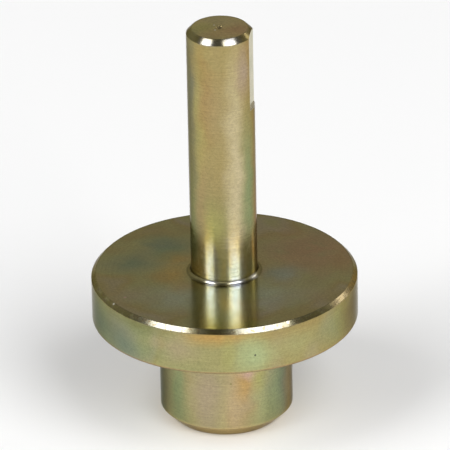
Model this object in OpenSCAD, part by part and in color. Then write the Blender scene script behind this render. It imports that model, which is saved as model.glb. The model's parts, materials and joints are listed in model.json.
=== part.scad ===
// Knockout punch: a press tool turned from one bar, with a round stem that is held in the ram,
// a flange that takes the thrust and a boss that pushes the work out.
// The foot of the boss is at z = 0, the axis is Z, and the stem points up.

/* [Boss] */
// Diameter of the boss that enters the work
boss_d = 25.4; // [20:0.1:40]
// Height of the boss, from its foot to the underside of the flange
boss_height = 20.9; // [8:0.1:40]
// Width of the 45 degree lead-in chamfer at the foot of the boss
boss_chamfer = 2.4; // [0.3:0.1:4]

/* [Flange] */
// Diameter of the flange
flange_d = 50.8; // [44:0.1:80]
// Thickness of the flange
flange_thickness = 9.2; // [4:0.1:20]
// Width of the 45 degree chamfer on the upper edge of the flange
flange_chamfer = 0.8; // [0.2:0.1:1.5]
// Width of the 45 degree edge break on the lower edge of the flange
flange_edge_break = 0.3; // [0.1:0.05:1]

/* [Stem] */
// Diameter of the plain round stem
stem_d = 12.7; // [10:0.1:18]
// Length of the stem above the flange
stem_length = 50.8; // [30:0.1:80]
// Width of the 45 degree chamfer at the top end of the stem
stem_chamfer = 1; // [0.3:0.1:2]
// Radius of the fillet where the stem meets the flange
root_fillet = 0.8; // [0.3:0.1:3]

/* [Set screw flat] */
// Depth of the flat, below the round of the stem
flat_depth = 0.47; // [0.2:0.01:1.5]
// Length of the flat, from the top end of the stem down to its square shoulder
flat_length = 15.9; // [8:0.1:25]

/* [Centre mark] */
// Diameter of the lathe centre mark, at the top face of the stem
centre_d = 1.6; // [0.8:0.1:3]
// Angle between the sides of the centre mark's cone
centre_angle = 90; // [60:1:118]

/* [Hidden] */
boss_r = boss_d / 2;
flange_r = flange_d / 2;
stem_r = stem_d / 2;
flange_top = boss_height + flange_thickness;
stem_top = flange_top + stem_length;
centre_depth = centre_d / 2 / tan(centre_angle / 2);
// How far a cut runs out past the surface that it opens
cut_margin = 1;
zinc_yellow = [0.66, 0.59, 0.4];

$fn = 96;

// Half section of a turned length from z0 to z1, with a chamfer on each outer edge that has one
module turned_length(r, z0, z1, lower = 0, upper = 0) {
  lower_edge = lower > 0 ? [[r - lower, z0], [r, z0 + lower]] : [[r, z0]];
  upper_edge = upper > 0 ? [[r, z1 - upper], [r - upper, z1]] : [[r, z1]];
  polygon(concat([[0, z0]], lower_edge, upper_edge, [[0, z1]]));
}

// Section of a concave fillet in a corner that opens outwards and upwards
module corner_fillet(radius) {
  difference() {
    square(radius);
    translate([radius, radius]) circle(radius);
  }
}

// Half section of the whole punch: the boss and the stem run on inside the flange
module punch_section() {
  turned_length(boss_r, 0, flange_top, lower = boss_chamfer);
  turned_length(flange_r, boss_height, flange_top, flange_edge_break, flange_chamfer);
  turned_length(stem_r, 0, stem_top, upper = stem_chamfer);
  translate([stem_r, flange_top]) corner_fillet(root_fillet);
}

// Milled flat for a set screw, on the +X side of the stem
module set_screw_flat() {
  translate([stem_r - flat_depth, -stem_r, stem_top - flat_length])
    cube([flat_depth + cut_margin, stem_d, flat_length + cut_margin]);
}

// Lathe centre mark in the top face of the stem
module centre_mark() {
  cone_height = centre_depth + cut_margin;
  translate([0, 0, stem_top - centre_depth])
    cylinder(h = cone_height, r1 = 0, r2 = cone_height * tan(centre_angle / 2));
}

module punch_body() {
  color(zinc_yellow)
    difference() {
      rotate_extrude() punch_section();
      set_screw_flat();
      centre_mark();
    }
}

punch_body();
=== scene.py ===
# %% [markdown]
# # A knockout punch, turned from one bar
# The punch is a press tool. Its stem is held in a ram by a set screw, its flange takes the thrust,
# and its boss pushes a bush or a bearing out of a bore. It is one piece of steel, cut on a lathe,
# zinc plated and dipped in a yellow chromate that dries to a thin film with rainbow tints.
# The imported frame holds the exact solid, and this lesson gives it the look of the real one.

import json
import math

import bmesh
import bpy
from mathutils import Matrix, Vector


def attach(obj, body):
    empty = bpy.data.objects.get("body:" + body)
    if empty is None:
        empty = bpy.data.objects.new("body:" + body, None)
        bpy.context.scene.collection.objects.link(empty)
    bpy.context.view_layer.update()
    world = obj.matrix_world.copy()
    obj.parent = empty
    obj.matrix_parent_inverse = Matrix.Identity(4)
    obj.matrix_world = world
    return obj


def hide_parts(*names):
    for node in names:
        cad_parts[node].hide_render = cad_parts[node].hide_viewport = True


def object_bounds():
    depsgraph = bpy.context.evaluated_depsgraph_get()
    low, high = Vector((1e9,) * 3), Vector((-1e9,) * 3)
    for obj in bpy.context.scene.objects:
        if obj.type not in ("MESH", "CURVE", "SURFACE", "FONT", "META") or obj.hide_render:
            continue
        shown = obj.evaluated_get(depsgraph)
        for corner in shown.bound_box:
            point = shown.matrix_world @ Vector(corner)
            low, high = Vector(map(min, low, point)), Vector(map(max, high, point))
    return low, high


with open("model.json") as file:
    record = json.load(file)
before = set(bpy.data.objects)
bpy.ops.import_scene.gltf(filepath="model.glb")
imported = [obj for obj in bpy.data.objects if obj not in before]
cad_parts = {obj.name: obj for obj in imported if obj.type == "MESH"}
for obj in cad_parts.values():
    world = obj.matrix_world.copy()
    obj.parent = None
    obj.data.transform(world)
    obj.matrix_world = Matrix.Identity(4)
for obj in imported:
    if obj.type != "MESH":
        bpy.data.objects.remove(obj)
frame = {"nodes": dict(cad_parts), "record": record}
cad_low, cad_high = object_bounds()
print("nodes:", sorted(frame["nodes"]), "box:", [round(v, 4) for v in (*cad_low, *cad_high)])

# %% [markdown]
# ## Sizes
# Every size that the frame knows is read from it, so that the looks follow the solid: the mounts in the
# record give the radii and the faces, and the box gives the rest. Only what the record does not state,
# the chamfers, the fillet, the flat and the centre mark, is written here, in millimetres.

# %% Read the sizes
MM = 0.001
mounts = {mount["name"]: mount for mount in frame["record"]["mounts"]}
stem_r = mounts["stem"]["dims"]["r_mm"] * MM
boss_r = mounts["boss"]["dims"]["r_mm"] * MM
flange_r = cad_high.x
underside = mounts["flange_underside"]["pos_m"][2]
flange_top = mounts["thrust_face"]["pos_m"][2]
stem_top = cad_high.z

BOSS_CHAMFER = 2.4 * MM
FLANGE_CHAMFER = 0.8 * MM
FLANGE_EDGE_BREAK = 0.3 * MM
STEM_CHAMFER = 1.0 * MM
ROOT_FILLET = 0.8 * MM
FLAT_DEPTH = 0.47 * MM
FLAT_LENGTH = 15.9 * MM
CENTRE_R = 0.8 * MM
CENTRE_DEPTH = 0.8 * MM
print(f"stem {stem_r:.5f}, boss {boss_r:.5f}, flange {flange_r:.5f}, height {stem_top:.4f}")

# %% [markdown]
# ## The turned body
# A lathe cuts an outline into a turning bar. The same is done here: half the outline is drawn as a
# chain of edges, its corners are rounded as a file or a worn tool leaves them, and the chain is spun
# about Z. A box model with bevels could give the same shape, but a spun outline keeps every ring true.

# %% Draw and round the half outline
EDGE_ROUND = 0.06 * MM
ROUND_SEGMENTS = 4
FILLET_SEGMENTS = 10
SAME_PLACE = 1e-7


def round_corners(bm, places, offset, segments):
    """Rounds the chain's corners at the given (radius, height) places."""
    spots = [Vector((r, 0, z)) for r, z in places]
    corners = [v for v in bm.verts if any((v.co - spot).length < SAME_PLACE for spot in spots)]
    bmesh.ops.bevel(bm, geom=corners, offset=offset, affect="VERTICES", segments=segments,
                    profile=0.5, material=-1)


def draw_outline(bm):
    """Draws the half outline in the XZ plane, from the foot's centre to the centre mark's point."""
    sharp = [
        (boss_r - BOSS_CHAMFER, 0), (boss_r, BOSS_CHAMFER),
        (flange_r - FLANGE_EDGE_BREAK, underside), (flange_r, underside + FLANGE_EDGE_BREAK),
        (flange_r, flange_top - FLANGE_CHAMFER), (flange_r - FLANGE_CHAMFER, flange_top),
        (stem_r, stem_top - STEM_CHAMFER), (stem_r - STEM_CHAMFER, stem_top), (CENTRE_R, stem_top),
    ]
    root = (stem_r, flange_top)
    inner = (boss_r, underside)
    chain = [(0, 0), *sharp[:2], inner, *sharp[2:6], root, *sharp[6:], (0, stem_top - CENTRE_DEPTH)]
    verts = [bm.verts.new((r, 0, z)) for r, z in chain]
    for start, end in zip(verts, verts[1:]):
        bm.edges.new((start, end))
    round_corners(bm, [root], ROOT_FILLET, FILLET_SEGMENTS)
    round_corners(bm, sharp, EDGE_ROUND, ROUND_SEGMENTS)


body_mesh = bmesh.new()
draw_outline(body_mesh)
print("outline points:", len(body_mesh.verts))

# %% Spin the outline
TURN_STEPS = 288
WELD = 1e-6

bmesh.ops.spin(body_mesh, geom=body_mesh.verts[:] + body_mesh.edges[:], cent=(0, 0, 0), axis=(0, 0, 1),
               dvec=(0, 0, 0), angle=math.tau, steps=TURN_STEPS, use_merge=True, use_duplicate=False)
bmesh.ops.remove_doubles(body_mesh, verts=body_mesh.verts[:], dist=WELD)
bmesh.ops.recalc_face_normals(body_mesh, faces=body_mesh.faces[:])
print("turned faces:", len(body_mesh.faces))

# %% [markdown]
# ## The set-screw flat
# One side of the stem is milled flat from the top end down to a square shoulder, so that a set screw
# bears on it and raises no burr. Two bisecting planes cut the stem along the flat and its shoulder,
# the sliver outside them is deleted, and the two openings that are left are filled with flat faces.

# %% Mill the flat
flat_x = stem_r - FLAT_DEPTH
shoulder_z = stem_top - FLAT_LENGTH
ON_PLANE = 1e-6
NEAR_PLANE = 2 * ON_PLANE


def cut(bm, faces, point, normal):
    """Cuts the faces along a plane and keeps both sides."""
    edges = {edge for face in faces for edge in face.edges}
    verts = {vert for face in faces for vert in face.verts}
    bmesh.ops.bisect_plane(bm, geom=[*verts, *edges, *faces], dist=ON_PLANE,
                           plane_co=point, plane_no=normal)


def above(bm, height):
    """The faces whose middle lies higher than that."""
    return [face for face in bm.faces if face.calc_center_median().z > height]


cut(body_mesh, above(body_mesh, flange_top + ROOT_FILLET), (0, 0, shoulder_z), (0, 0, 1))
cut(body_mesh, above(body_mesh, shoulder_z), (flat_x, 0, 0), (1, 0, 0))
sliver = [face for face in above(body_mesh, shoulder_z) if face.calc_center_median().x > flat_x]
bmesh.ops.delete(body_mesh, geom=sliver, context="FACES")

rim = [edge for edge in body_mesh.edges if edge.is_boundary]
arc = [edge for edge in rim if all(abs(vert.co.z - shoulder_z) < ON_PLANE for vert in edge.verts)]
arc_ends = [vert for edge in arc for vert in edge.verts if abs(vert.co.x - flat_x) < NEAR_PLANE]
chord = bmesh.ops.contextual_create(body_mesh, geom=arc_ends)["edges"]
bmesh.ops.holes_fill(body_mesh, edges=[edge for edge in rim if edge not in arc] + chord, sides=0)
bmesh.ops.holes_fill(body_mesh, edges=arc + chord, sides=0)
bmesh.ops.recalc_face_normals(body_mesh, faces=body_mesh.faces[:])
print("cut away:", len(sliver), "faces; open edges left:", sum(e.is_boundary for e in body_mesh.edges))

# %% [markdown]
# ## The piece
# A turned face reflects smoothly, and the corners between faces are crisp. Faces are shaded smooth, the
# sharp edges are marked, and the normals are weighted by area, so that large faces stay flat beside the
# rounded edges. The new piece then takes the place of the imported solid.

# %% Make the piece
SHARP_ANGLE = math.radians(20)

for face in body_mesh.faces:
    face.smooth = True
for edge in body_mesh.edges:
    edge.smooth = edge.calc_face_angle(0) < SHARP_ANGLE
punch_mesh = bpy.data.meshes.new("turned_punch")
body_mesh.to_mesh(punch_mesh)
body_mesh.free()
punch = bpy.data.objects.new("turned_punch", punch_mesh)
bpy.context.scene.collection.objects.link(punch)

weighted = punch.modifiers.new("weighted", "WEIGHTED_NORMAL")
weighted.keep_sharp = True
smoothed = punch.evaluated_get(bpy.context.evaluated_depsgraph_get())
punch.data = bpy.data.meshes.new_from_object(smoothed)
punch.modifiers.clear()

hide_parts("punch_body")
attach(punch, "root")
print("piece:", punch.name, len(punch.data.polygons), "faces")

# %% [markdown]
# ## Shader sums
# A finish is worked out from coordinates by many small nodes. So that the sums read as sums, a socket
# is wrapped in a class whose operators add Math nodes, and one method makes every other node.

# %% Wrap a socket


class Wire:
    """A shader output that can be used in sums, as a number is."""

    def __init__(self, socket):
        self.socket = socket

    @classmethod
    def node(cls, tree, kind, settings=None, inputs=None, output=0):
        """Adds a node: its settings first, then the values or links of its sockets. Gives one output."""
        made = tree.nodes.new(kind)
        for name, value in (settings or {}).items():
            if name == "stops":
                cls.set_stops(made.color_ramp.elements, value)
            else:
                setattr(made, name, value)
        for key, value in (inputs or {}).items():
            if isinstance(value, Wire):
                tree.links.new(value.socket, made.inputs[key])
            else:
                made.inputs[key].default_value = value
        return cls(made.outputs[output]) if made.outputs else None

    @staticmethod
    def set_stops(ramp, stops):
        """Puts the colours of a ramp in their places."""
        while len(ramp) < len(stops):
            ramp.new(1)
        for stop, (place, colour) in zip(ramp, stops):
            stop.position = place
            stop.color = (*colour, 1)

    def part(self, name):
        """Another output of the node that made this one."""
        return Wire(self.socket.node.outputs[name])

    def sum(self, operation, first, second):
        """One Math node, in the tree that this socket is in."""
        tree = self.socket.id_data
        return self.node(tree, "ShaderNodeMath", {"operation": operation}, {0: first, 1: second})

    def __add__(self, other):
        return self.sum("ADD", self, other)

    def __sub__(self, other):
        return self.sum("SUBTRACT", self, other)

    def __rsub__(self, other):
        return self.sum("SUBTRACT", other, self)

    def __mul__(self, other):
        return self.sum("MULTIPLY", self, other)

    def __pow__(self, other):
        return self.sum("POWER", self, other)

    __radd__ = __add__
    __rmul__ = __mul__


print("sums are written with:", Wire.__name__)

# %% [markdown]
# ## Camera
# The camera stands where the photograph was taken from: a little round to the right of the punch, looking
# down on it, far enough away that the upright lines stay almost parallel. A long lens then fills the
# frame. Its place is counted in flange radii, so it would follow a punch of another size.

# %% Set the camera
VIEW_AZIMUTH = math.radians(9.4)
VIEW_ELEVATION = math.radians(26.9)
VIEW_ROLL = math.radians(1.1)
VIEW_DISTANCE = 46.5 * flange_r
IMAGE_SIZE = 450
PIXELS_PER_FLANGE_R = 133.3
AIM_ABOVE_FLANGE = 0.3745 * flange_r
AIM_ASIDE = 0.0115 * flange_r
SENSOR = 36.0
CLIP_END = 20.0


def direction(azimuth, elevation):
    """Unit vector from the object towards a place seen at that azimuth and elevation; 0 is -Y."""
    flat = math.cos(elevation)
    return Vector((math.sin(azimuth) * flat, -math.cos(azimuth) * flat, math.sin(elevation)))


aside = AIM_ASIDE * Vector((math.cos(VIEW_AZIMUTH), math.sin(VIEW_AZIMUTH), 0))
centre = Vector((0, 0, flange_top))
aim = centre + aside + Vector((0, 0, AIM_ABOVE_FLANGE))
place = centre + aside + VIEW_DISTANCE * direction(VIEW_AZIMUTH, VIEW_ELEVATION)
turn = (aim - place).to_track_quat("-Z", "Y").to_matrix().to_4x4()

camera_data = bpy.data.cameras.new("camera")
camera_data.sensor_width = SENSOR
camera_data.lens = PIXELS_PER_FLANGE_R * VIEW_DISTANCE / flange_r / IMAGE_SIZE * SENSOR
camera_data.clip_end = CLIP_END
camera = bpy.data.objects.new("camera", camera_data)
bpy.context.scene.collection.objects.link(camera)
camera.matrix_world = Matrix.Translation(place) @ turn @ Matrix.Rotation(-VIEW_ROLL, 4, "Z")
bpy.context.scene.camera = camera
print("camera at", [round(v, 3) for v in place], "lens", round(camera_data.lens, 1))

# %% [markdown]
# ## Yellow chromate on zinc
# The bath leaves a clear film a few hundred nanometres thick on the zinc. Light that is thrown back by
# the film and by the metal under it mixes, so the colour turns with the film's thickness: straw, ochre,
# mauve, teal, green and straw again. A thin-film shader could work it out, but it would not survive the
# export, so the film is painted: soft noise runs through the film's colours over the whole punch, and a
# few patches are laid where the real one shows them. All of it lies on the punch's own coordinates.

# %% Start the finish
# The helpers add their nodes to the tree that is being made at the time.
def new_material(name):
    """An empty node material and its tree."""
    made = bpy.data.materials.new(name)
    made.use_nodes = True
    made.node_tree.nodes.clear()
    return made, made.node_tree


plated, tree = new_material("yellow_chromate_zinc")


def vector(operation, *values, output=0):
    """A sum with vectors."""
    inputs = dict(enumerate(values))
    return Wire.node(tree, "ShaderNodeVectorMath", {"operation": operation}, inputs, output)


def noise(where, size, detail=2.0, output="Fac"):
    """Soft noise whose lumps are about the given size."""
    inputs = {"Vector": where, "Scale": 1 / size, "Detail": detail}
    return Wire.node(tree, "ShaderNodeTexNoise", {}, inputs, output)


def ease(value, start, end):
    """Goes smoothly from 0 at start to 1 at end."""
    return Wire.node(tree, "ShaderNodeMapRange", {"interpolation_type": "SMOOTHSTEP"},
                     {"Value": value, "From Min": start, "From Max": end, "To Min": 0, "To Max": 1})


def blend(under, over, amount, how="MIX"):
    """Lays one colour over another."""
    return Wire.node(tree, "ShaderNodeMix", {"data_type": "RGBA", "blend_type": how},
                     {0: amount, 6: under, 7: over}, 2)


# Millimetres, turned so that the side that faces the camera is -Y.
in_metres = Wire.node(tree, "ShaderNodeTexCoord", {}, {}, "Object")
in_mm = Wire.node(tree, "ShaderNodeMapping", {"vector_type": "POINT"},
                  {"Vector": in_metres, "Rotation": (0, 0, -VIEW_AZIMUTH), "Scale": (1 / MM,) * 3})
x = Wire.node(tree, "ShaderNodeSeparateXYZ", {}, {"Vector": in_mm}, "X")
y = x.part("Y")
z = x.part("Z")
radius = (x * x + y * y) ** 0.5
print("coordinates read")

# %% [markdown]
# ### The film's colours
# The film is thickest where the bath ran off slowly, and it ran down the sides, so the noise is drawn out
# along Z. A second, finer noise frays its borders. A ramp turns the noise into the film's colours.

# %% Run the noise through the film's colours
TINTS = {
    "khaki": (0.38, 0.35, 0.14), "straw": (0.42, 0.40, 0.13), "ochre": (0.51, 0.31, 0.09),
    "tan": (0.37, 0.255, 0.09), "bronze": (0.355, 0.325, 0.155), "peach": (0.5, 0.38, 0.215),
    "rust": (0.43, 0.25, 0.14), "mauve": (0.42, 0.32, 0.23), "teal": (0.16, 0.235, 0.175),
    "sage": (0.42, 0.48, 0.24), "moss": (0.24, 0.295, 0.14), "olive": (0.21, 0.18, 0.06),
    "cream": (0.58, 0.495, 0.3), "umber": (0.20, 0.15, 0.07), "brass": (0.66, 0.51, 0.245),
    "silver": (0.54, 0.59, 0.76), "sea": (0.43, 0.48, 0.37), "gilt": (0.6, 0.52, 0.27),
    "rose": (0.55, 0.37, 0.28), "pit": (0.05, 0.045, 0.04), "bare": (0.90, 0.84, 0.70),
}
FILM = [(0.28, "moss"), (0.40, "bronze"), (0.50, "khaki"),
        (0.58, "tan"), (0.66, "mauve"), (0.76, "khaki")]
FRAY_SIZE = 5.0
FRAY_REACH = 3.0
CLOUD_SIZE = 13.0
DRAWN_OUT = (1, 1, 0.4)


def tinted(name):
    """A tint, as a colour socket takes it."""
    return (*TINTS[name], 1)


wobble = vector("SUBTRACT", noise(in_mm, FRAY_SIZE, output="Color"), (0.5,) * 3)
frayed = vector("MULTIPLY_ADD", wobble, (FRAY_REACH,) * 3, in_mm)
clouds = noise(vector("MULTIPLY", frayed, DRAWN_OUT), CLOUD_SIZE, detail=1.5)
stops = [(at, TINTS[name]) for at, name in FILM]
film = Wire.node(tree, "ShaderNodeValToRGB", {"stops": stops}, {0: clouds})
print("film colours:", len(FILM))

# %% [markdown]
# ### Grounds
# Each part of the punch hung differently in the bath and has a colour of its own under the clouds: the
# flange's face is bronze, the stem is tan and its end is brassy. The stem's root gets a pale gilt ground
# with a larger share: partly film colour, partly a painted highlight that whitens the softbox stripes
# there. Heights and radii pick the parts out.

# %% Give each part its own ground
OWN_COLOUR = 0.55
OWN_AT_ROOT = 0.4
FACE_MARGIN = 0.1
FACE_FADE = 0.3
ROOT_FULL = 3.0
ROOT_FADE = 12.0


def from_face_up(height):
    """0 below a face at that height, 1 on it and above it."""
    return ease(z, height / MM - FACE_FADE, height / MM - FACE_MARGIN)


on_top = from_face_up(flange_top)
on_stem = on_top * ease(radius, (stem_r + ROOT_FILLET) / MM, stem_r / MM)
on_end = from_face_up(stem_top)
on_boss = ease(z, underside / MM + FACE_MARGIN, underside / MM - FACE_MARGIN)
root_top = (flange_top + ROOT_FILLET) / MM
on_root = on_stem * ease(z, root_top + ROOT_FADE, root_top + ROOT_FULL)
# The gilt on the root is partly a painted highlight under the softbox stripes.
GROUNDS = [("mauve", on_boss * 0.4), ("bronze", on_top), ("tan", on_stem),
           ("gilt", on_root), ("brass", on_end)]
ground = tinted("khaki")
for tint, share in GROUNDS:
    ground = blend(ground, tinted(tint), share)
# OWN_AT_ROOT raises the pale root ground's share: partly film colour, partly painted highlight.
film = blend(film, ground, on_root * OWN_AT_ROOT + OWN_COLOUR)
print("grounds:", len(GROUNDS))

# %% [markdown]
# ### Patches
# Each patch is a soft ellipsoid of one of the film's colours: distance from the axis, degrees round from
# the front, height, reach across, reach along Z, and strength. Patches on the flange's side are kept off
# its top face, and those in front of the stem are drawn out towards the front. Some patches are painted
# light: the two pale ones at the stem's foot are painted highlights on the softbox stripes, the ones in
# front of the stem are partly a painted reflection of the stem's lit foot, and the umber ones at the left
# and right sides are partly painted shade.

# %% Lay the patches
PATCHES = {
    "stem": [
        ("teal", 6.35, -70, 66, 4.0, 26, 0.8), ("moss", 6.35, -70, 44, 4.0, 24, 0.9),
        # The umber on the next line darkens the stem's left side: painted shade over the film's colour.
        ("umber", 6.35, -66, 58, 3.4, 36, 0.5), ("straw", 6.35, -44, 64, 2.0, 22, 0.5),
        ("mauve", 6.35, -8, 66, 5.0, 16, 0.2), ("rust", 6.35, -40, 46, 2.6, 16, 0.25),
        ("cream", 6.35, 24, 52, 3.2, 42, 0.85), ("mauve", 6.35, 42, 74, 2.4, 8, 0.8),
        ("moss", 6.35, 52, 48, 3.2, 26, 0.9), ("rust", 6.35, 82, 42, 3.0, 26, 0.8),
        ("straw", 6.35, -16, 41, 3.4, 9.0, 0.7), ("cream", 6.35, 23, 42, 2.6, 9.0, 0.6),
        ("gilt", 6.35, 60, 35, 3.2, 9.0, 1.0),
        # These two pale patches at the stem's foot are painted highlights that whiten the softbox stripes.
        ("silver", 6.35, -24, 31, 2.1, 11.0, 1.0), ("silver", 6.35, 20, 31, 2.5, 12.0, 1.0),
        ("rust", 3.5, 80, 80.9, 4.4, 1.0, 0.7), ("straw", 4.0, -90, 80.9, 4.4, 1.0, 0.6),
    ],
    "flange_top": [
        ("ochre", 9.7, -80, 30.1, 5.8, 1.5, 0.6), ("ochre", 11.0, -50, 30.1, 4.5, 1.5, 0.5),
        ("ochre", 9.8, -118, 30.1, 5.0, 1.5, 0.55),
        ("teal", 11.2, 82, 30.1, 6.0, 1.5, 0.65), ("teal", 16.0, -134, 30.1, 7.0, 1.5, 0.55),
        ("teal", 18.0, -101, 30.1, 7.5, 1.5, 0.45), ("rust", 18.5, 112, 30.1, 17.0, 1.5, 0.75),
        ("mauve", 21.1, -60, 30.1, 6.0, 1.5, 0.4), ("mauve", 20.0, 55, 30.1, 7.0, 1.5, 0.35),
        ("sea", 14.0, 36, 30.1, 9.0, 1.5, 0.5), ("sea", 12.0, 78, 30.1, 6.0, 1.5, 0.35),
        ("sea", 15.0, -38, 30.1, 9.0, 1.5, 0.5),
    ],
    # These patches pale the flange's face in front of the stem: partly film colour, partly a painted
    # reflection of the stem's lit foot.
    "flange_front": [("sea", 15.0, 0, 30.1, 6.4, 1.5, 1.0), ("gilt", 14.0, 0, 30.1, 2.4, 1.5, 0.7)],
    "flange_side": [
        ("ochre", 25.4, -2, 29.0, 12.0, 3.2, 0.95), ("mauve", 25.4, -22, 26.0, 7.0, 5.0, 0.45),
        ("moss", 25.4, -42, 28.4, 11.0, 3.4, 0.9), ("teal", 25.4, -72, 24.5, 14.0, 9.0, 0.95),
        ("teal", 25.4, -50, 23.0, 10.0, 7.0, 0.85), ("moss", 25.4, -34, 23.7, 7.0, 4.0, 0.5),
        # The umber on the next line darkens the flange's left side: painted shade over the film's colour.
        ("umber", 25.4, -56, 24.5, 11.0, 7.0, 0.25), ("olive", 25.4, -42, 28.9, 11.0, 2.8, 0.6),
        ("sage", 25.4, 12.5, 24.5, 6.4, 6.0, 0.95), ("straw", 25.4, 1.3, 24.9, 2.4, 6.0, 0.5),
        ("tan", 25.4, 38, 29.0, 13.0, 3.0, 0.6), ("moss", 25.4, 54, 25.5, 9.0, 6.0, 0.5),
        # The umber on the next line darkens the flange's right side: painted shade over the film's colour.
        ("sage", 25.4, 31, 25.0, 7.0, 5.0, 0.3), ("umber", 25.4, 76, 25.5, 9.0, 8.0, 0.8),
    ],
    "boss": [
        # The umber on the next line darkens the boss's left side: painted shade over the film's colour.
        ("teal", 12.7, -80, 9.0, 6.2, 22.0, 1.0), ("umber", 12.7, -68, 9.0, 4.4, 18.0, 0.4),
        ("moss", 12.7, -47, 8.5, 4.0, 16.0, 0.9),
        ("mauve", 12.7, -18, 9.0, 4.4, 14.0, 0.6), ("peach", 12.7, 8, 8.5, 4.2, 13.0, 0.9),
        ("ochre", 12.7, 17, 11.5, 3.6, 4.5, 0.7), ("rose", 12.7, 22, 13.8, 3.2, 2.2, 1.0),
        ("sage", 12.7, 33, 7.0, 3.6, 9.0, 0.6), ("straw", 12.7, 31, 12.5, 2.6, 5.0, 0.8),
        ("teal", 12.7, 54, 9.5, 3.8, 13.0, 0.75), ("moss", 12.7, 44, 7.0, 4.0, 12.0, 0.7),
        # The umber on the next line darkens the boss's right side: painted shade over the film's colour.
        ("umber", 12.7, 82, 9.0, 4.0, 18.0, 0.4), ("sage", 12.7, 49, 9.0, 3.2, 12.0, 0.35),
    ],
}
DRAWN_FORWARD = {"flange_front": 2.8}
on_side = ease(radius, (flange_r - FLANGE_CHAMFER / 2) / MM, (flange_r - FLANGE_CHAMFER / 4) / MM)


def place_on(from_axis, around, height):
    """Millimetres, for a distance from the axis, degrees round from the front and a height."""
    turned = math.radians(around)
    return from_axis * math.sin(turned), -from_axis * math.cos(turned), height


def patch(spot, reach):
    """1 in the middle of a soft ellipsoid and 0 outside it."""
    away = vector("DIVIDE", vector("SUBTRACT", frayed, spot), reach)
    return ease(vector("LENGTH", away, output="Value"), start=1, end=0)


colour = film
for area, patches in PATCHES.items():
    for tint, from_axis, around, height, across, along, strength in patches:
        reach = (across, across * DRAWN_FORWARD.get(area, 1), along)
        amount = patch(place_on(from_axis, around, height), reach) * strength
        if area == "flange_side":
            amount = amount * on_side
        colour = blend(colour, tinted(tint), amount)
print("patches laid:", sum(len(patches) for patches in PATCHES.values()))

# %% [markdown]
# ### Edges and corners
# Chamfers were cut last and drain first, so they carry a film of their own: dark olive on the flange
# and the stem, red-brown on the flange's lower edge. The root's fillet is darkened olive all round, partly
# film and partly painted shade in the crease, and the boss's lower chamfer is lightened brassy, partly
# film colour and partly painted light on a face that mirrors the shadowed floor. A noise breaks up the
# flange's edge. Pale and gold tints are painted as highlights on the rims and the root where the lamps are
# mirrored, and the root is painted darker at the sides of the stem as shade. Each such place has a tint,
# an edge, a distance from the axis, degrees round from the front, a height, a reach and a strength.

# %% Colour the edges
def ring(from_axis, height, reach):
    """1 near a ring round the axis and 0 beyond its reach."""
    across = radius - from_axis / MM
    along = z - height / MM
    return ease((across * across + along * along) ** 0.5, reach, reach / 2)


flange_rim = ring(flange_r - FLANGE_CHAMFER / 2, flange_top - FLANGE_CHAMFER / 2, reach=0.8)
stem_rim = ring(stem_r - STEM_CHAMFER / 2, stem_top - STEM_CHAMFER / 2, reach=1.0)
boss_rim = ring(boss_r - BOSS_CHAMFER / 2, BOSS_CHAMFER / 2, reach=2.2)
lower_rim = ring(flange_r - FLANGE_EDGE_BREAK / 2, underside + FLANGE_EDGE_BREAK / 2, reach=0.5)
fillet = ring(stem_r + ROOT_FILLET / 3, flange_top + ROOT_FILLET / 3, reach=0.9)
rubbed = ease(noise(in_mm, size=1.4, detail=3.0), start=0.52, end=0.60)
# Here the olive on the fillet is partly painted shade in the root's crease, and the brass on the boss's
# lower chamfer is partly painted light.
EDGES = [("olive", flange_rim * 0.85), ("bronze", flange_rim * rubbed * 0.7), ("olive", stem_rim * 0.7),
         ("brass", boss_rim * 0.9), ("rust", lower_rim * 0.5), ("olive", fillet * 0.75)]
for tint, amount in EDGES:
    colour = blend(colour, tinted(tint), amount)
print("edges:", len(EDGES))

# %% Paint highlights and shade on the edges
NICK_STRENGTH = 0.7
# Painted highlights: pale and gold tints on the rims and the fillet where the lamps are mirrored. Painted
# shade: the dark tint in the root at the sides of the stem.
EDGE_HIGHLIGHTS_AND_SHADE = [
    ("silver", flange_rim, 25.0, -26, 29.7, 9.0, 0.3), ("silver", flange_rim, 25.0, 17, 29.7, 10.0, 0.3),
    ("peach", flange_rim, 25.0, 62, 29.7, 7.0, 0.7), ("ochre", flange_rim, 25.0, 80, 29.7, 8.0, 0.6),
    ("silver", stem_rim, 5.9, -25, 80.4, 2.6, 0.5), ("silver", stem_rim, 5.9, 18, 80.4, 3.0, 0.5),
    ("silver", fillet, 6.6, -23, 30.4, 2.2, 0.4), ("silver", fillet, 6.6, 20, 30.4, 2.4, 0.4),
    # The dark tint on the next line is painted shade in the root's crease.
    ("pit", fillet, 6.6, -84, 30.4, 5.4, 0.15), ("pit", fillet, 6.6, 84, 30.4, 5.0, 0.15),
    # The pale tint on the next line is a painted highlight, a glint of the lamp behind.
    ("bare", fillet, 6.6, 58, 30.4, 2.0, 0.9),
]
for tint, edge, from_axis, around, height, reach, strength in EDGE_HIGHLIGHTS_AND_SHADE:
    amount = edge * patch(place_on(from_axis, around, height), (reach,) * 3)
    colour = blend(colour, tinted(tint), amount * strength)
nicked = ease(noise(in_mm, size=0.7), start=0.54, end=0.62)
colour = blend(colour, tinted("umber"), flange_rim * nicked * NICK_STRENGTH)
print("painted highlights and shade:", len(EDGE_HIGHLIGHTS_AND_SHADE))

# %% [markdown]
# ### Specks
# The real punch has a tiny pit on the flange's side, a faint mark on the boss and a few bright specks,
# and the centre mark is brassy inside. Each is a small ball of colour on the surface: tint, distance
# from the axis, degrees round from the front, height and reach in millimetres.

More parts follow.
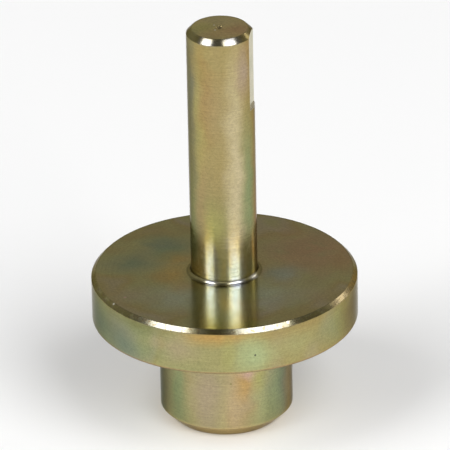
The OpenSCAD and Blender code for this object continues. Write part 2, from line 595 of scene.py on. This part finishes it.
# %% Mark the specks and the pit
SPECK_CORE = 0.6
SPECK_STRENGTH = 0.8
SPECKS = [
    ("pit", 25.4, 12.5, 24.6, 0.26), ("bare", 24.8, -58.0, 30.0, 0.3), ("rose", 21.7, -60.4, 30.1, 0.35),
    ("bare", 24.8, 28.3, 29.9, 0.4), ("olive", 12.7, 3.8, 12.15, 0.22),
    ("bare", 1.5, -136.0, 80.9, 0.2), ("bare", 1.45, -37.0, 80.9, 0.25), ("brass", 0.0, 0.0, 80.5, 1.0),
]
for tint, from_axis, around, height, reach in SPECKS:
    away = vector("DISTANCE", in_mm, place_on(from_axis, around, height), output="Value")
    amount = ease(away, reach, reach * SPECK_CORE)
    colour = blend(colour, tinted(tint), amount * SPECK_STRENGTH)
print("specks:", len(SPECKS))

# %% [markdown]
# ### Turning marks
# The tool left fine grooves round the whole punch. A noise with one dimension, run along radius and height
# together, gives rings on the faces, on the sides and on the chamfers alike. A second noise, pressed flat
# along Z, breaks the rings on the sides into short scratches, as the grain of the cut does. The marks show
# most at the stem's root and least on the flange's face.

# %% Cut the turning marks
GROOVE_DEPTH = 4e-6
HEIGHT_SHARE = 1.7
RINGS_PER_MM = 2.2
SCRATCH_SHAPE = (0.3, 0.3, 4.0)
RING_SHARE = 0.6
MARK_CONTRAST = 0.6
FAINTER_ON_FACE = 0.3
STRONGER_AT_ROOT = 0.4


def vary(pattern, contrast):
    """A factor that follows a pattern, and is 1 where the pattern is 0.5."""
    return (pattern - 0.5) * contrast + 1.0


rings = Wire.node(tree, "ShaderNodeTexNoise", {"noise_dimensions": "1D"}, {
    "W": radius + z * HEIGHT_SHARE, "Scale": RINGS_PER_MM, "Detail": 4.0, "Roughness": 0.7})
scratches = noise(vector("MULTIPLY", in_mm, SCRATCH_SHAPE), size=1.0)
grooves = rings * RING_SHARE + scratches * (1 - RING_SHARE)
contrast = (on_stem - on_top) * FAINTER_ON_FACE + on_root * STRONGER_AT_ROOT + MARK_CONTRAST
colour = blend(colour, vary(grooves, contrast), 1.0, "MULTIPLY")
bump = Wire.node(tree, "ShaderNodeBump", {}, {"Strength": 1.0, "Distance": GROOVE_DEPTH, "Height": grooves})
print("groove depth:", GROOVE_DEPTH)

# %% [markdown]
# ### Joining the finish
# Zinc under a film is still metal, so the colour feeds a metallic shader. The grooves smear its highlights
# across themselves, which is what anisotropy does. A thin clear coat stands for the film's own surface:
# it makes lamps look white in the plating, and the edges pale. A soft noise makes the gloss uneven, and
# a fine one gives the colour its grain.

# %% Join the finish
GRAIN_CONTRAST = 0.5
SMOOTHEST = 0.15
ROUGHER_BY = 0.14
grain = noise(in_mm, size=0.45)
colour = blend(colour, vary(grain, GRAIN_CONTRAST), 1.0, "MULTIPLY")
roughness = noise(in_mm, size=2.5, detail=3.0) * ROUGHER_BY + SMOOTHEST
shader = Wire.node(tree, "ShaderNodeBsdfPrincipled", {}, {
    "Base Color": colour, "Metallic": 1.0, "Roughness": roughness, "Normal": bump,
    "Anisotropic": 0.6, "Anisotropic Rotation": 0.25, "Specular Tint": (0.42, 0.39, 0.32, 1),
    "Coat Weight": 0.2, "Coat Roughness": 0.12, "Coat IOR": 1.5,
})
Wire.node(tree, "ShaderNodeOutputMaterial", {}, {"Surface": shader})
print("finish nodes:", len(tree.nodes))

# %% [markdown]
# ### The milled flat
# The flat was cut by a mill and not on the lathe, so it has no rings: the cutter left fine marks across
# it, one for each turn of the cutter. It went into the same bath and came out a little paler. The ledge
# at its lower end is painted near-white, a painted highlight on a face that would otherwise read dark.

# %% Finish the flat
PALE_SHARE = 0.6
LEDGE_LIGHT_FROM = 0.06
LEDGE_LIGHT_FULL = 0.02
FEED_CONTRAST = 0.6
MILLED_SMOOTHEST = 0.2
MILLED_ROUGHER_BY = 0.1

milled, tree = new_material("yellow_chromate_milled")
in_metres = Wire.node(tree, "ShaderNodeTexCoord", {}, {}, "Object")
in_mm = vector("MULTIPLY", in_metres, (1 / MM,) * 3)
feed = noise(vector("MULTIPLY", in_mm, SCRATCH_SHAPE), size=1.0, detail=3.0)
pale = ease(noise(in_mm, size=5.0), start=0.3, end=0.7)
paler = blend(tinted("khaki"), tinted("cream"), pale * PALE_SHARE)
height = Wire.node(tree, "ShaderNodeSeparateXYZ", {}, {"Vector": in_mm}, "Z")
# The ledge is painted near-white: a painted highlight.
on_ledge = ease(height, shoulder_z / MM + LEDGE_LIGHT_FROM, shoulder_z / MM + LEDGE_LIGHT_FULL)
paler = blend(paler, tinted("bare"), on_ledge)
paler = blend(paler, vary(feed, FEED_CONTRAST), 1.0, "MULTIPLY")
bump = Wire.node(tree, "ShaderNodeBump", {}, {"Strength": 1.0, "Distance": GROOVE_DEPTH, "Height": feed})
shader = Wire.node(tree, "ShaderNodeBsdfPrincipled", {}, {
    "Base Color": paler, "Metallic": 1.0, "Normal": bump,
    "Roughness": feed * MILLED_ROUGHER_BY + MILLED_SMOOTHEST,
})
Wire.node(tree, "ShaderNodeOutputMaterial", {}, {"Surface": shader})
print("flat's nodes:", len(tree.nodes))

# %% Put both finishes on
FACING = 0.99

punch.data.materials.clear()
for material in (plated, milled):
    punch.data.materials.append(material)


def cut_by_mill(face):
    """Tells whether the face is the flat or the ledge at its lower end."""
    is_flat = abs(face.center.x - flat_x) < NEAR_PLANE and face.normal.x > FACING
    is_ledge = abs(face.center.z - shoulder_z) < NEAR_PLANE and face.normal.z > FACING
    return is_flat or is_ledge


cut_faces = [face for face in punch.data.polygons if cut_by_mill(face)]
for face in cut_faces:
    face.material_index = 1
print("milled faces:", len(cut_faces))

# %% [markdown]
# ## Floor
# The punch stands on pale paper. The paper is a plain dull surface, so it takes the punch's shadow, and
# the plating mirrors it as it mirrors everything else.

# %% Lay the floor
FLOOR_HALF = 4.0
PAPER_WHITE = 0.91
floor_mesh = bmesh.new()
bmesh.ops.create_grid(floor_mesh, x_segments=1, y_segments=1, size=FLOOR_HALF)
floor_data = bpy.data.meshes.new("floor")
floor_mesh.to_mesh(floor_data)
floor_mesh.free()
floor = bpy.data.objects.new("floor", floor_data)
bpy.context.scene.collection.objects.link(floor)

paper, tree = new_material("pale_paper")
matt = Wire.node(tree, "ShaderNodeBsdfDiffuse", {}, {"Color": (PAPER_WHITE, PAPER_WHITE, PAPER_WHITE, 1)})
Wire.node(tree, "ShaderNodeOutputMaterial", {}, {"Surface": matt})
floor_data.materials.append(paper)
print("floor:", 2 * FLOOR_HALF, "m wide")

# %% [markdown]
# ## Light
# The photograph was lit by two tall softboxes, one on each side of the camera: they show as the two white
# stripes at the foot of the stem and as the breaks along the flange's edge. A weak panel over the camera
# fills the gap between the stripes, and a small lamp behind draws the thin line on the right. Their sizes
# are counted for each metre of distance, so that they keep their angles.

# %% Hang the softboxes
SOFTBOX_DISTANCE = 3.0


def softbox(name, azimuth, elevation, width, height, lean, radiance):
    """A rectangular lamp that faces the punch; angles are counted from the camera, in degrees."""
    data = bpy.data.lights.new(name, "AREA")
    data.shape = "RECTANGLE"
    data.size = width * SOFTBOX_DISTANCE
    data.size_y = height * SOFTBOX_DISTANCE
    data.energy = radiance * math.pi * data.size * data.size_y
    lamp = bpy.data.objects.new(name, data)
    towards = direction(VIEW_AZIMUTH + math.radians(azimuth), math.radians(elevation))
    where = centre + SOFTBOX_DISTANCE * towards
    facing = towards.to_track_quat("Z", "Y").to_matrix().to_4x4()
    lamp.matrix_world = Matrix.Translation(where) @ facing @ Matrix.Rotation(math.radians(lean), 4, "Z")
    lamp.visible_camera = False
    bpy.context.scene.collection.objects.link(lamp)
    print(name, f"{data.size:.2f} x {data.size_y:.2f} m, {data.energy:.1f} W")


softbox("softbox_left", azimuth=-57.5, elevation=43, width=0.46, height=0.80, lean=22, radiance=5.1)
softbox("softbox_right", azimuth=39, elevation=43, width=0.60, height=0.80, lean=-15, radiance=5.3)
softbox("panel_front", azimuth=-5, elevation=27, width=0.60, height=0.36, lean=0, radiance=0.35)
softbox("lamp_behind", azimuth=121, elevation=26, width=0.20, height=0.26, lean=0, radiance=1.8)

# %% [markdown]
# ### The room
# The rest of the room is pale near the horizon and dark overhead, and the plating mirrors that too. The
# world's colour runs along a ramp on the direction's height.

# %% Paint the room
ROOM = [(0.0, (0.48,) * 3), (0.5, (0.44,) * 3), (0.75, (0.14,) * 3), (1.0, (0.10,) * 3)]
world = bpy.data.worlds.new("studio")
world.use_nodes = True
tree = world.node_tree
tree.nodes.clear()
looking = Wire.node(tree, "ShaderNodeTexCoord", {}, {}, "Generated")
upwards = Wire.node(tree, "ShaderNodeSeparateXYZ", {}, {"Vector": looking}, "Z")
walls = Wire.node(tree, "ShaderNodeValToRGB", {"stops": ROOM}, {0: upwards})
glow = Wire.node(tree, "ShaderNodeBackground", {}, {"Color": walls})
Wire.node(tree, "ShaderNodeOutputWorld", {}, {"Surface": glow})
bpy.context.scene.world = world
bpy.context.scene.view_settings.view_transform = "Standard"
print("room stops:", len(ROOM))
